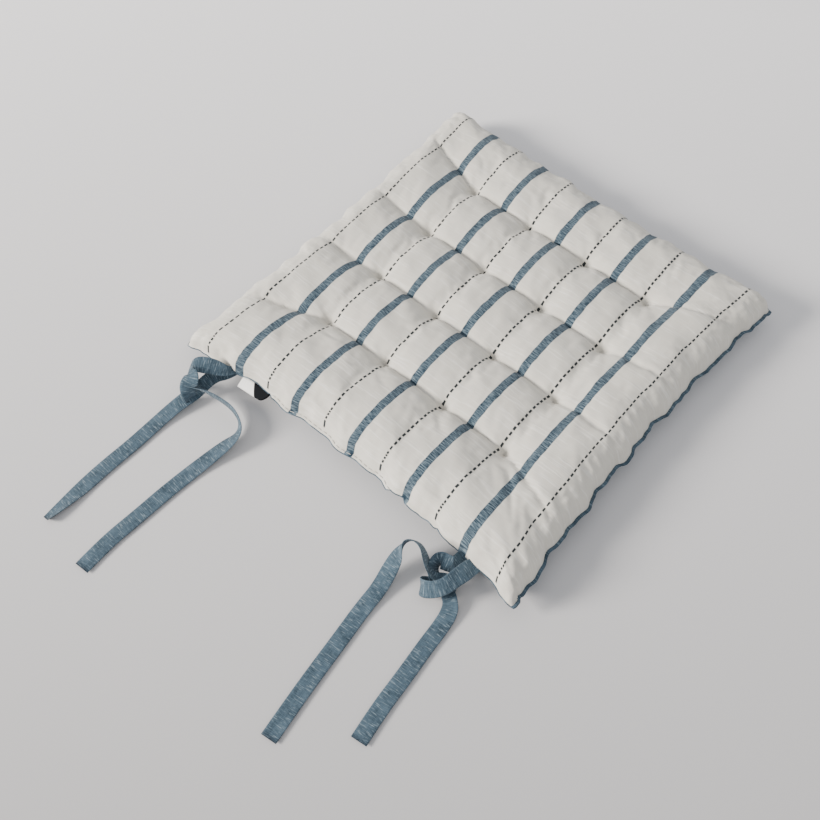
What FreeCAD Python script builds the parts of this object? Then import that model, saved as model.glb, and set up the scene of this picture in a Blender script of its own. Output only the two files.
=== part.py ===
"""Tufted chair seat pad with two pairs of tape ties, as separate soft pieces.

Frame, in millimetres: the origin is on the surface that the pad rests on, under the pad's middle,
+Z is up, and +Y points to the rear edge, which goes against the chair back and carries the ties.
"""
import FreeCAD, Part
import math
import os

Vector = FreeCAD.Vector

# Driving dimensions of the pad
PAD_SIDE = 400.0          # corner to corner along one edge
PAD_THICKNESS = 46.0      # over the crests between the tufts
SEAM_HEIGHT = 20.0        # where the two cover panels meet
EDGE_DRAW = 12.0          # how far each edge pulls in at its middle
CLOTH = 0.8               # cover cloth thickness

# Height and inset from the seam of each section of the pad, upwards and downwards
UPPER_SECTIONS = ((0.0, 0.0), (0.62, 9.0), (1.0, 34.0))
LOWER_SECTIONS = ((0.0, 0.0), (0.62, 7.0), (1.0, 24.0))

# Tufts: four rows of four threads, row 1 nearest the ties, column 1 at the +X side
TUFT_COUNT = 4
TUFT_PITCH = 72.0
TUFT_SHIFT_Y = -11.0      # the grid sits a little away from the rear edge
TUFT_TOP = 25.0           # height of the pinched cloth on top
TUFT_BOTTOM = 7.0         # height of the pinched cloth underneath
TOP_DIMPLE_RADIUS = 24.0
BOTTOM_DIMPLE_RADIUS = 12.0
DIMPLE_FLOOR_RADIUS = 2.6
THREAD_RADIUS = 0.6
STITCH_LENGTH = 3.6       # each thread's stitch, seen on both sides

# Seam threads
SEAM_THREAD_RADIUS = 0.35
SEAM_THREAD_INSET = 6.0   # inside the cover, along the seam
SEAM_CORNER_RADIUS = 5.0
CLOSING_START_X = 96.0    # the hand-filling gap, closed by edge stitching
CLOSING_END_X = -52.0
CLOSING_STITCHES = 24
CLOSING_STITCH_LENGTH = 4.0

# Ties: each strap is tape, drawn as a round tube with the tape's own section area
STRAP_RADIUS = 2.0
FLOOR = STRAP_RADIUS      # centreline height of a strap that lies on the floor
TACK_FACE_Y = 198.0       # outer face of the bar tacks, where the straps start
TACK_DEPTH = 12.0
ARC_SHARE = 0.45          # of the shorter run, used by the arc at each point

LEFT_SHORT_ROUTE = (
    (144, TACK_FACE_Y, 17.5), (150, 205, 17.5), (154, 214, 15.5), (156.5, 224, 11.8),
    (158.5, 233, 9.5), (161.5, 243, 7.5), (164, 256, 4.4), (165, 274, 2.2),
    (164.6, 304, FLOOR), (166, 336, FLOOR), (165, 371, FLOOR), (164.7, 404, FLOOR),
)
LEFT_LONG_ROUTE = (
    (144, TACK_FACE_Y, 22.5), (149.5, 201.5, 27), (158, 205, 30), (167, 211, 30.5),
    (172, 218.5, 28.5), (168.5, 226, 25), (160.5, 232, 21.5), (153, 237.5, 15.5),
    (152.5, 240.5, 7.5), (158.5, 241.5, 2.3), (166.5, 238.5, 3.5), (169.5, 233, 9.5),
    (164.5, 228.5, 15.8), (155, 226, 17), (144, 224, 16), (131.5, 220.5, 14),
    (117, 219, 12), (103, 223, 8.8), (94, 234, 5), (97, 252, 2.2), (101.5, 280, FLOOR),
    (104.4, 314, FLOOR), (105.4, 349, FLOOR), (107.4, 384, FLOOR), (105, 413, FLOOR),
)
RIGHT_SHORT_ROUTE = (
    (-139, TACK_FACE_Y, 20), (-136, 202.5, 23.5), (-132, 208, 23), (-132, 214.5, 18),
    (-137, 219, 13), (-146, 221.5, 9.5), (-155.5, 225, 6.5), (-161.5, 233.5, 3.5),
    (-163.5, 248, FLOOR), (-165, 269, FLOOR), (-168.5, 300, FLOOR), (-171, 332, FLOOR),
    (-175.7, 361, FLOOR),
)
RIGHT_LONG_ROUTE = (
    (-154, TACK_FACE_Y, 20), (-154, 206, 21.5), (-151.5, 215, 21.5), (-147, 224.5, 20),
    (-139.5, 232.5, 16.5), (-130.5, 235.5, 11.5), (-126.5, 229.5, 5), (-133, 222.5, 2.3),
    (-143, 218, 2.6), (-151.5, 213.5, 6), (-151, 212, 13.5), (-143.5, 217, 17),
    (-135.5, 222.5, 17.5), (-127.5, 221.5, 21.5), (-119.5, 216, 27), (-110, 211.5, 32.5),
    (-100, 214, 32), (-95.5, 221.5, 24.5), (-96, 232, 15.5), (-97.5, 244, 8.5),
    (-100.5, 259, 3.5), (-103.5, 280, FLOOR), (-107, 306, FLOOR), (-111, 340, FLOOR),
    (-115.5, 374, FLOOR), (-120.6, 407, FLOOR),
)
STRAP_ROUTES = {
    "left": {"tie_left_short": LEFT_SHORT_ROUTE, "tie_left_long": LEFT_LONG_ROUTE},
    "right": {"tie_right_short": RIGHT_SHORT_ROUTE, "tie_right_long": RIGHT_LONG_ROUTE},
}

# Bar tacks: centre x, centre z, width and height of the thread block over each pair of roots
TACKS = {
    "left": (144.0, 20.0, 8.0, 10.0),
    "right": (-146.5, 20.0, 23.0, 5.0),
}

# Care label: a folded satin strip caught in the rear seam
LABEL_CENTRE_X = 115.5
LABEL_WIDTH = 33.0
LABEL_DROP = 13.0
LABEL_THICKNESS = 1.0
LABEL_TILT = 35.0         # degrees that the label leans out from hanging straight down

PARTS_FOLDER = "parts"


def export(name, shape):
    """Check one node's shape and write its STEP file."""
    if not shape.isValid():
        raise ValueError(name + " is not valid")
    shape.exportStep(os.path.join(PARTS_FOLDER, name + ".step"))
    print(name, "solids", len(shape.Solids), "volume", round(shape.Volume, 1))


def drawn_square(half_side, draw, height):
    """A closed wire of four arcs, a square whose sides pull in by draw at their middles."""
    corners = [
        Vector(half_side * sx, half_side * sy, height)
        for sx, sy in ((1, 1), (-1, 1), (-1, -1), (1, -1))
    ]
    edges = []
    for index, start in enumerate(corners):
        end = corners[(index + 1) % len(corners)]
        middle = (start + end) * 0.5
        inward = Vector(-middle.x, -middle.y, 0)
        inward.normalize()
        edges.append(Part.Arc(start, middle + inward * draw, end).toShape())
    return Part.Wire(edges)


def half_pad(sections, rise, shrink):
    """One half of the pad as a solid, from the seam's plane to rise above or below it.

    sections holds (share of the rise, inset) pairs, and shrink is the inset of the whole half,
    which is the cloth's thickness for the filling inside it.
    """
    half_side = PAD_SIDE / 2 - shrink
    reach = rise - math.copysign(shrink, rise)
    wires = []
    for share, inset in sections:
        draw = EDGE_DRAW * (1 - inset / max(part[1] for part in sections) * 0.6)
        wires.append(drawn_square(half_side - inset, draw, SEAM_HEIGHT + share * reach))
    return Part.makeLoft(wires, True, False)


def tuft_places():
    """Yield each tuft's row number, column number, x and y."""
    middle = (TUFT_COUNT - 1) / 2
    for row in range(TUFT_COUNT):
        for column in range(TUFT_COUNT):
            x = (middle - column) * TUFT_PITCH
            y = TUFT_SHIFT_Y + (middle - row) * TUFT_PITCH
            yield row + 1, column + 1, x, y


def dimple(floor, mouth, mouth_radius, grow):
    """A cone from the pinched cloth at height floor to the pad's face at height mouth."""
    direction = math.copysign(1, mouth - floor)
    bottom = floor - direction * grow
    depth = abs(mouth - bottom) + 1
    return Part.makeCone(
        DIMPLE_FLOOR_RADIUS + grow, mouth_radius + grow, depth,
        Vector(0, 0, bottom), Vector(0, 0, direction),
    )


def cut_dimples(upper, lower, grow):
    """Both halves of the pad with every tuft's cone cut out of them."""
    top = dimple(TUFT_TOP, PAD_THICKNESS, TOP_DIMPLE_RADIUS, grow)
    bottom = dimple(TUFT_BOTTOM, 0, BOTTOM_DIMPLE_RADIUS, grow)
    places = [Vector(x, y, 0) for _, _, x, y in tuft_places()]
    upper = upper.cut([top.translated(place) for place in places])
    lower = lower.cut([bottom.translated(place) for place in places])
    return upper, lower


def tuft_thread(x, y):
    """One tufting thread: a shank through the pad and a stitch lying across each side."""
    low = TUFT_BOTTOM - THREAD_RADIUS
    high = TUFT_TOP + THREAD_RADIUS
    shank = Part.makeCylinder(THREAD_RADIUS, high - low, Vector(x, y, low))
    stitches = []
    for height in (low, high):
        start = Vector(x, y - STITCH_LENGTH / 2, height)
        stitches.append(Part.makeCylinder(THREAD_RADIUS, STITCH_LENGTH, start, Vector(0, 1, 0)))
    return shank.fuse(stitches).removeSplitter()


def seam_loop():
    """The perimeter lockstitch: a closed thread inside the cover, bowed like the pad's edges.

    Each side is an arc about a point outside the pad, and each corner is a small arc that is
    tangent to the two sides it joins, so its centre is on the diagonal, one corner radius
    further from the side's centre than the side is.
    """
    half_side = PAD_SIDE / 2 - SEAM_THREAD_INSET
    side_radius = (half_side ** 2 + EDGE_DRAW ** 2) / (2 * EDGE_DRAW)
    reach = half_side - EDGE_DRAW + side_radius
    centre_gap = side_radius + SEAM_CORNER_RADIUS
    diagonal = (reach - math.sqrt(2 * centre_gap ** 2 - reach ** 2)) / 2
    side_centre = Vector(0, reach, 0)
    corner_centre = Vector(diagonal, diagonal, 0)
    away = corner_centre - side_centre
    away.normalize()
    joint = side_centre + away * side_radius
    mirrored_joint = Vector(-joint.x, joint.y, 0)
    tip = corner_centre + Vector(1, 1, 0).normalize() * SEAM_CORNER_RADIUS
    side = Part.Arc(joint, Vector(0, half_side - EDGE_DRAW, 0), mirrored_joint).toShape()
    corner = Part.Arc(Vector(joint.y, joint.x, 0), tip, joint).toShape()
    edges = []
    for quarter in range(4):
        for edge in (corner, side):
            edges.append(edge.rotated(Vector(0, 0, 0), Vector(0, 0, 1), 90 * quarter))
    path = Part.Wire(edges)
    path.translate(Vector(0, 0, SEAM_HEIGHT))
    first = path.Edges[0]
    start = first.valueAt(first.FirstParameter)
    circle = Part.Circle(start, first.tangentAt(first.FirstParameter), SEAM_THREAD_RADIUS)
    return path.makePipeShell([Part.Wire([circle.toShape()])], True, True)


def rear_edge_y(x):
    """Where the rear edge of the seam lies at x: an arc pulled in by EDGE_DRAW at its middle."""
    half = PAD_SIDE / 2
    radius = (half ** 2 + EDGE_DRAW ** 2) / (2 * EDGE_DRAW)
    return half - EDGE_DRAW + radius - math.sqrt(radius ** 2 - x ** 2)


def closing_stitches(pad):
    """The row of edge stitches that closes the filling gap, lying on the rear of the seam."""
    pitch = (CLOSING_START_X - CLOSING_END_X) / CLOSING_STITCHES
    stitches = []
    for index in range(CLOSING_STITCHES):
        x = CLOSING_START_X - (index + 0.5) * pitch
        start = Vector(x - CLOSING_STITCH_LENGTH / 2, rear_edge_y(x) + SEAM_THREAD_RADIUS, SEAM_HEIGHT)
        stitches.append(
            Part.makeCylinder(SEAM_THREAD_RADIUS, CLOSING_STITCH_LENGTH, start, Vector(1, 0, 0))
        )
    return Part.makeCompound(stitches).cut(pad)


def bar_tack(centre_x, centre_z, width, height, pad):
    """A block of thread at the roots of one pair of straps, cut to the pad's edge."""
    corner = Vector(centre_x - width / 2, TACK_FACE_Y - TACK_DEPTH, centre_z - height / 2)
    block = Part.makeBox(width, TACK_DEPTH, height, corner).cut(pad)
    return max(block.Solids, key=lambda solid: solid.BoundBox.YMax)


def strap(name, route, tack):
    """One strap: a tube along straight runs joined by tangent arcs, as large as the runs allow.

    The tube starts on its bar tack's outer face, and is cut to that face.
    """
    points = [Vector(*point) for point in route]
    edges = []
    radii = []
    last = points[0]
    for before, corner, after in zip(points, points[1:], points[2:]):
        arriving = corner - before
        leaving = after - corner
        turn = arriving.getAngle(leaving)
        trim = ARC_SHARE * min(arriving.Length, leaving.Length)
        radius = trim / math.tan(turn / 2)
        radii.append(round(radius, 1))
        arriving.normalize()
        leaving.normalize()
        start = corner - arriving * trim
        end = corner + leaving * trim
        toward_centre = leaving - arriving
        toward_centre.normalize()
        middle = corner + toward_centre * radius * (1 / math.cos(turn / 2) - 1)
        edges.append(Part.LineSegment(last, start).toShape())
        edges.append(Part.Arc(start, middle, end).toShape())
        last = end
    edges.append(Part.LineSegment(last, points[-1]).toShape())
    path = Part.Wire(edges)
    circle = Part.Circle(points[0], points[1] - points[0], STRAP_RADIUS)
    tube = path.makePipeShell([Part.Wire([circle.toShape()])], True, True)
    expected = math.pi * STRAP_RADIUS ** 2 * path.Length
    print(name, "length", round(path.Length, 1), "radii", radii)
    print(name, "volume over section times length", round(tube.Volume / expected, 4))
    return tube.cut(tack)


def care_label():
    """The folded label: two leaves and the fold between them, leaning out from the seam."""
    root_y = max(
        rear_edge_y(LABEL_CENTRE_X - LABEL_WIDTH / 2), rear_edge_y(LABEL_CENTRE_X + LABEL_WIDTH / 2)
    )
    corner = Vector(LABEL_CENTRE_X - LABEL_WIDTH / 2, root_y, SEAM_HEIGHT - LABEL_DROP)
    label = Part.makeBox(LABEL_WIDTH, LABEL_THICKNESS, LABEL_DROP, corner)
    label = label.makeFillet(LABEL_THICKNESS * 0.45, [
        edge for edge in label.Edges
        if abs(edge.BoundBox.ZMax - corner.z) < 1e-6 and edge.BoundBox.XLength > LABEL_WIDTH / 2
    ])
    hinge = Vector(LABEL_CENTRE_X, root_y, SEAM_HEIGHT)
    return label.rotated(hinge, Vector(1, 0, 0), LABEL_TILT)


def build_pad():
    """Write the cover panels, the filling, the tufting threads and the closing stitches."""
    outer_upper = half_pad(UPPER_SECTIONS, PAD_THICKNESS - SEAM_HEIGHT, 0)
    outer_lower = half_pad(LOWER_SECTIONS, -SEAM_HEIGHT, 0)
    inner_upper = half_pad(UPPER_SECTIONS, PAD_THICKNESS - SEAM_HEIGHT, CLOTH)
    inner_lower = half_pad(LOWER_SECTIONS, -SEAM_HEIGHT, CLOTH)
    outer_upper, outer_lower = cut_dimples(outer_upper, outer_lower, 0)
    inner_upper, inner_lower = cut_dimples(inner_upper, inner_lower, CLOTH)
    threads = {
        "tuft_r%dc%d" % (row, column): tuft_thread(x, y) for row, column, x, y in tuft_places()
    }
    loop = seam_loop()
    holes = list(threads.values())
    export("top_panel", outer_upper.cut([inner_upper] + holes))
    export("underside_panel", outer_lower.cut([inner_lower] + holes))
    export("filling", inner_upper.fuse(inner_lower).cut(holes + [loop]))
    for name, thread in threads.items():
        export(name, thread)
    export("perimeter_seam_thread", loop)
    pad = outer_upper.fuse(outer_lower)
    export("closing_seam_thread", closing_stitches(pad))
    return pad


def main():
    """Build every node and write it to the parts folder."""
    os.makedirs(PARTS_FOLDER, exist_ok=True)
    pad = build_pad()
    for side, sizes in TACKS.items():
        tack = bar_tack(*sizes, pad)
        export("bar_tack_" + side, tack)
        for name, route in STRAP_ROUTES[side].items():
            export(name, strap(name, route, tack))
    export("care_label", care_label())


main()
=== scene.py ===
"""A square tufted chair pad with four tape ties, in its two made-up cloths, lying on a pale floor.

The pad is sewn up flat, stuffed and tufted: both panels start from their flat cut, and a cloth simulation
fills them out between the tufts and the seam. Everything is in metres: +Z up, the ties leave the +Y edge.
"""

import logging
import math
from dataclasses import dataclass, field
from enum import Enum

import bpy
import numpy as np
from mathutils import Matrix, Vector


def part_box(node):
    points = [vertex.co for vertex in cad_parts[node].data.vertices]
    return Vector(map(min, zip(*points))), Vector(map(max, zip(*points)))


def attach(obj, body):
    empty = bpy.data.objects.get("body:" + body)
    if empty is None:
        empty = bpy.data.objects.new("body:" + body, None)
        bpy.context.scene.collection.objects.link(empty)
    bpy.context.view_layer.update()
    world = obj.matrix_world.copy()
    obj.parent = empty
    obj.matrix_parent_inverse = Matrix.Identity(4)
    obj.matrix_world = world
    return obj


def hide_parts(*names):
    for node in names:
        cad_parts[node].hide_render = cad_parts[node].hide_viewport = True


log = logging.getLogger("chair_pad")

MM = 0.001
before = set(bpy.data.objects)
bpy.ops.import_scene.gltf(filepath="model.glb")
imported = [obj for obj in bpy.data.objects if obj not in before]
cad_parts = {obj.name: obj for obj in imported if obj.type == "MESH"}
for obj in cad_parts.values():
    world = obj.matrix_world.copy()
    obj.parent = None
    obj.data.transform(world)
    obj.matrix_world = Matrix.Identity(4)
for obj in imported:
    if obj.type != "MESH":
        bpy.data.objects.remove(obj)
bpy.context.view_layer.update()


# --------------------------------------------------------------------------- colours and nodes


def linear(hex_colour: str) -> tuple[float, float, float, float]:
    """Turns an sRGB hex colour into the linear values that shaders use.

    Args:
        hex_colour: six hex digits, with or without a leading hash.

    Returns:
        Red, green, blue and an alpha of 1, each channel c as ((c + 0.055) / 1.055) ** 2.4, or c / 12.92 when dark.
    """
    digits = hex_colour.lstrip("#")
    channels = [int(digits[i : i + 2], 16) / 255 for i in (0, 2, 4)]
    return (*(c / 12.92 if c <= 0.04045 else ((c + 0.055) / 1.055) ** 2.4 for c in channels), 1.0)


class Graph:
    """The node tree of one material."""

    def __init__(self, name: str) -> None:
        """Starts an empty tree.

        Args:
            name: the material's name.
        """
        self.material = bpy.data.materials.new(name)
        self.material.use_nodes = True
        self.tree = self.material.node_tree
        self.tree.nodes.clear()

    def add(self, kind: str, inputs: dict | None = None, out: int | str = 0, **settings):
        """Adds one node, with its settings, its values and its links.

        Args:
            kind: the node's type, without the leading ShaderNode.
            inputs: for each input, by number or name, a socket to link from or a value to set.
            out: which output to hand back, by number or name.
            settings: the node's own properties.

        Returns:
            The output socket that `out` names, or the node itself when it has none.
        """
        made = self.tree.nodes.new("ShaderNode" + kind)
        for key, value in settings.items():
            setattr(made, key, value)
        for key, value in (inputs or {}).items():
            if isinstance(value, bpy.types.NodeSocket):
                self.tree.links.new(value, made.inputs[key])
            else:
                made.inputs[key].default_value = value
        return made.outputs[out] if len(made.outputs) else made

    def close(self, surface) -> bpy.types.Material:
        """Joins the shader to the material's output.

        Args:
            surface: the shader's output socket.

        Returns:
            The finished material.
        """
        self.add("OutputMaterial", {"Surface": surface})
        return self.material


# --------------------------------------------------------------------------- meshes


def hide_loose_ends(mesh: bpy.types.Mesh) -> bpy.types.Mesh:
    """Checks a new mesh and shades it smooth.

    Args:
        mesh: the mesh.

    Returns:
        The same mesh.
    """
    mesh.validate()
    mesh.shade_smooth()
    mesh.update()
    return mesh


def make_piece(
    name: str,
    points: np.ndarray,
    faces: np.ndarray | list,
    material: bpy.types.Material,
    uv: np.ndarray | None = None,
) -> bpy.types.Object:
    """Makes an object at the origin from whole arrays.

    Args:
        name: the piece's name.
        points: n x 3 places, in metres.
        faces: rows of point numbers.
        material: the finish.
        uv: n x 2 cloth places for each point, in metres, or None.

    Returns:
        The object, linked to the scene.
    """
    mesh = bpy.data.meshes.new(name)
    rows = faces.tolist() if isinstance(faces, np.ndarray) else faces
    mesh.from_pydata(points.tolist(), [], rows)
    if uv is not None:
        layer = mesh.uv_layers.new(name="cloth")
        corner = np.empty(len(mesh.loops), np.int32)
        mesh.loops.foreach_get("vertex_index", corner)
        layer.data.foreach_set("uv", uv[corner].astype(np.float32).ravel())
    mesh.materials.append(material)
    piece = bpy.data.objects.new(name, hide_loose_ends(mesh))
    bpy.context.scene.collection.objects.link(piece)
    return piece


def grid_faces(index: np.ndarray, turn: bool = False) -> np.ndarray:
    """Lists the quads of a grid of point numbers.

    Args:
        index: rows x columns of point numbers.
        turn: whether the faces look the other way.

    Returns:
        Quads, each (i, j), (i + 1, j), (i + 1, j + 1), (i, j + 1).
    """
    a, b, c, d = index[:-1, :-1], index[1:, :-1], index[1:, 1:], index[:-1, 1:]
    quads = np.stack([a, b, c, d], -1).reshape(-1, 4)
    return quads[:, ::-1] if turn else quads


def sampled_nurbs(route: np.ndarray, steps: int = 12) -> np.ndarray:
    """Reads the points of a smooth NURBS line whose control points are the route.

    Args:
        route: n x 3 control points.
        steps: how many points are read for each of the spline's spans.

    Returns:
        m x 3 points along the line.
    """
    curve = bpy.data.curves.new("line", "CURVE")
    curve.dimensions = "3D"
    spline = curve.splines.new("NURBS")
    spline.points.add(len(route) - 1)
    spline.points.foreach_set("co", np.column_stack([route, np.ones(len(route))]).ravel())
    spline.order_u = 3
    spline.use_endpoint_u = True
    spline.resolution_u = steps
    carrier = bpy.data.objects.new("line", curve)
    bpy.context.scene.collection.objects.link(carrier)
    mesh = bpy.data.meshes.new_from_object(carrier)
    points = np.empty(len(mesh.vertices) * 3)
    mesh.vertices.foreach_get("co", points)
    bpy.data.objects.remove(carrier)
    bpy.data.meshes.remove(mesh)
    bpy.data.curves.remove(curve)
    return points.reshape(-1, 3)


def unit(v: np.ndarray) -> np.ndarray:
    """Scales vectors to length one: v / |v|, along the last axis."""
    return v / np.maximum(np.linalg.norm(v, axis=-1, keepdims=True), 1e-12)


def across(v: np.ndarray, t: np.ndarray) -> np.ndarray:
    """Keeps what of v stands square to the unit vectors t, at length one: v - (v . t) t."""
    return unit(v - (v * t).sum(-1, keepdims=True) * t)


def run_length(points: np.ndarray) -> np.ndarray:
    """Measures how far along a line each of its points is: the sum of |p[i + 1] - p[i]|."""
    return np.concatenate([[0.0], np.cumsum(np.linalg.norm(np.diff(points, axis=0), axis=1))])


def fade(x: np.ndarray, low: float, high: float) -> np.ndarray:
    """Rises smoothly from 0 at low to 1 at high: t t (3 - 2 t)."""
    t = np.clip((x - low) / (high - low), 0, 1)
    return t * t * (3 - 2 * t)


# --------------------------------------------------------------------------- finishes


@dataclass(frozen=True)
class SlubCotton:
    """Loom-state cotton with uneven yarns, woven with dobby stripes: matt, off-white, faintly streaked across."""

    ground: str = "dfdbd2"
    shade: str = "d1ccc0"
    indigo_deep: str = "1b303e"
    indigo_pale: str = "90a4af"
    dash: str = "20262a"
    repeat: float = 70.0
    plain_from: float = 190.0
    stripe: float = 8.2
    dash_width: float = 2.2
    dash_pitch: float = 6.0
    dash_length: float = 3.9

    def dress(self) -> bpy.types.Material:
        """Builds the cloth from its own flat-cut places, in millimetres.

        Returns:
            The material: stripes at every repeat, dashes halfway between them, slubs along the weft.
        """
        g = Graph("slub_cotton")
        uv = g.add("UVMap", uv_map="cloth")
        mm = g.add("VectorMath", {0: uv, 1: (1000, 1000, 1000)}, operation="MULTIPLY")
        x = g.add("SeparateXYZ", {0: mm}, "X")
        y = g.add("SeparateXYZ", {0: mm}, "Y")
        waver = g.add("TexNoise", {"Vector": mm, "Scale": 0.09, "Detail": 2.0})
        sway = g.add("MapRange", {0: waver, 3: -0.55, 4: 0.55})
        x = g.add("Math", {0: x, 1: sway}, operation="ADD")
        half = self.repeat / 2
        beside = g.add("Math", {0: x, 1: half}, operation="ADD")
        beside = g.add("Math", {0: beside, 1: self.repeat}, operation="FLOORED_MODULO")
        beside = g.add("Math", {0: beside, 1: half}, operation="SUBTRACT")
        beside = g.add("Math", {0: beside}, operation="ABSOLUTE")
        stripe = g.add("MapRange", {0: beside, 1: self.stripe / 2 + 0.25, 2: self.stripe / 2 - 0.25})
        out = g.add("Math", {0: x}, operation="ABSOLUTE")
        striped = g.add("MapRange", {0: out, 1: self.plain_from, 2: self.plain_from - 1.0})
        stripe = g.add("Math", {0: stripe, 1: striped}, operation="MULTIPLY")
        off_dash = g.add("Math", {0: half, 1: beside}, operation="SUBTRACT")
        dash_side = g.add("MapRange", {0: off_dash, 1: self.dash_width / 2 + 0.2, 2: self.dash_width / 2 - 0.2})
        along = g.add("Math", {0: y, 1: self.dash_pitch}, operation="FLOORED_MODULO")
        along = g.add("Math", {0: along, 1: self.dash_pitch / 2}, operation="SUBTRACT")
        along = g.add("Math", {0: along}, operation="ABSOLUTE")
        end = self.dash_length / 2
        dash_end = g.add("MapRange", {0: along, 1: end + 0.25, 2: end - 0.25})
        dash = g.add("Math", {0: dash_side, 1: dash_end}, operation="MULTIPLY")

        weft_at = g.add("Mapping", {0: mm, 3: (0.045, 1.1, 1.0)})
        weft = g.add("TexNoise", {"Vector": weft_at, "Scale": 1.0, "Detail": 3.0, "Roughness": 0.6})
        warp_at = g.add("Mapping", {0: mm, 3: (1.0, 0.05, 1.0)})
        warp = g.add("TexNoise", {"Vector": warp_at, "Scale": 1.0, "Detail": 2.0, "Roughness": 0.55})
        slub_at = g.add("Mapping", {0: mm, 3: (0.028, 0.42, 1.0)})
        slub = g.add("TexNoise", {"Vector": slub_at, "Scale": 1.0, "Detail": 2.0})
        slub = g.add("MapRange", {0: slub, 1: 0.56, 2: 0.7})
        streak = g.add("Math", {0: weft, 1: slub}, operation="ADD")
        tone = g.add("MapRange", {0: streak, 1: 0.25, 2: 1.2})
        ground = g.add(
            "Mix", {0: tone, 6: linear(self.shade), 7: linear(self.ground)}, "Result", data_type="RGBA"
        )
        fleck_at = g.add("Mapping", {0: mm, 3: (0.1, 0.95, 1.0)})
        fleck = g.add("TexNoise", {"Vector": fleck_at, "Scale": 1.0, "Detail": 3.0, "Roughness": 0.7})
        fleck = g.add("MapRange", {0: fleck, 1: 0.43, 2: 0.8})
        indigo = g.add(
            "Mix",
            {0: fleck, 6: linear(self.indigo_deep), 7: linear(self.indigo_pale)},
            "Result",
            data_type="RGBA",
        )
        colour = g.add("Mix", {0: stripe, 6: ground, 7: indigo}, "Result", data_type="RGBA")
        colour = g.add("Mix", {0: dash, 6: colour, 7: linear(self.dash)}, "Result", data_type="RGBA")

        weave = g.add("TexWave", {"Vector": mm, "Scale": 0.36}, "Fac", bands_direction="Y")
        weave_x = g.add("TexWave", {"Vector": mm, "Scale": 0.4}, "Fac", bands_direction="X")
        relief = g.add("Math", {0: weave, 1: weave_x}, operation="MULTIPLY")
        relief = g.add("Math", {0: relief, 1: 0.35, 2: weft}, operation="MULTIPLY_ADD")
        relief = g.add("Math", {0: warp, 1: 0.5, 2: relief}, operation="MULTIPLY_ADD")
        relief = g.add("Math", {0: slub, 1: 0.5, 2: relief}, operation="MULTIPLY_ADD")
        relief = g.add("Math", {0: dash, 1: 0.9, 2: relief}, operation="MULTIPLY_ADD")
        bump = g.add("Bump", {"Strength": 0.55, "Distance": 0.0004, "Height": relief})
        shader = g.add(
            "BsdfPrincipled",
            {
                "Base Color": colour,
                "Roughness": 0.92,
                "Specular IOR Level": 0.25,
                "Sheen Weight": 0.12,
                "Sheen Roughness": 0.6,
                "Normal": bump,
            },
        )
        return g.close(shader)


class ClothUse(Enum):
    """Where the chambray goes: it is the same cloth, but tape shows its cut and folds closer."""

    UNDERSIDE = "chambray"
    TAPE = "tie_tape"


@dataclass(frozen=True)
class Chambray:
    """Chambray: indigo warp and pale slub weft, so it is blue with light flecks across, matt, a little nappy."""

    use: ClothUse = ClothUse.TAPE
    deep: str = "293a45"
    mid: str = "536775"
    pale: str = "8b9ca6"

    def dress(self) -> bpy.types.Material:
        """Builds the cloth from its own places: x runs across the piece, y along it.

        Returns:
            The material.
        """
        g = Graph(self.use.value)
        uv = g.add("UVMap", uv_map="cloth")
        mm = g.add("VectorMath", {0: uv, 1: (1000, 1000, 1000)}, operation="MULTIPLY")
        weft_at = g.add("Mapping", {0: mm, 3: (0.14, 1.5, 1.0)})
        weft = g.add("TexNoise", {"Vector": weft_at, "Scale": 1.0, "Detail": 3.0, "Roughness": 0.7})
        warp_at = g.add("Mapping", {0: mm, 3: (1.3, 0.06, 1.0)})
        warp = g.add("TexNoise", {"Vector": warp_at, "Scale": 1.0, "Detail": 2.0})
        slub_at = g.add("Mapping", {0: mm, 3: (0.13, 0.8, 1.0)})
        slub = g.add("TexNoise", {"Vector": slub_at, "Scale": 1.0, "Detail": 2.0})
        slub = g.add("MapRange", {0: slub, 1: 0.54, 2: 0.7})
        wear = g.add("TexNoise", {"Vector": mm, "Scale": 0.09, "Detail": 2.0})
        tone = g.add("Math", {0: warp, 1: 0.35, 2: weft}, operation="MULTIPLY_ADD")
        tone = g.add("Math", {0: wear, 1: 0.6, 2: tone}, operation="MULTIPLY_ADD")
        tone = g.add("MapRange", {0: tone, 1: 0.76, 2: 1.2})
        base = g.add("Mix", {0: tone, 6: linear(self.deep), 7: linear(self.mid)}, "Result", data_type="RGBA")
        fleck = g.add("Math", {0: slub, 1: 0.55}, operation="MULTIPLY")
        colour = g.add("Mix", {0: fleck, 6: base, 7: linear(self.pale)}, "Result", data_type="RGBA")
        weave = g.add("TexWave", {"Vector": mm, "Scale": 0.36}, "Fac", bands_direction="Y")
        weave_x = g.add("TexWave", {"Vector": mm, "Scale": 0.4}, "Fac", bands_direction="X")
        relief = g.add("Math", {0: weave, 1: weave_x}, operation="MULTIPLY")
        relief = g.add("Math", {0: relief, 1: 0.5, 2: weft}, operation="MULTIPLY_ADD")
        relief = g.add("Math", {0: slub, 1: 0.6, 2: relief}, operation="MULTIPLY_ADD")
        bump = g.add("Bump", {"Strength": 0.6, "Distance": 0.0004, "Height": relief})
        shader = g.add(
            "BsdfPrincipled",
            {
                "Base Color": colour,
                "Roughness": 0.9,
                "Specular IOR Level": 0.25,
                "Sheen Weight": 0.15,
                "Sheen Roughness": 0.5,
                "Normal": bump,
            },
        )
        return g.close(shader)


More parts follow.
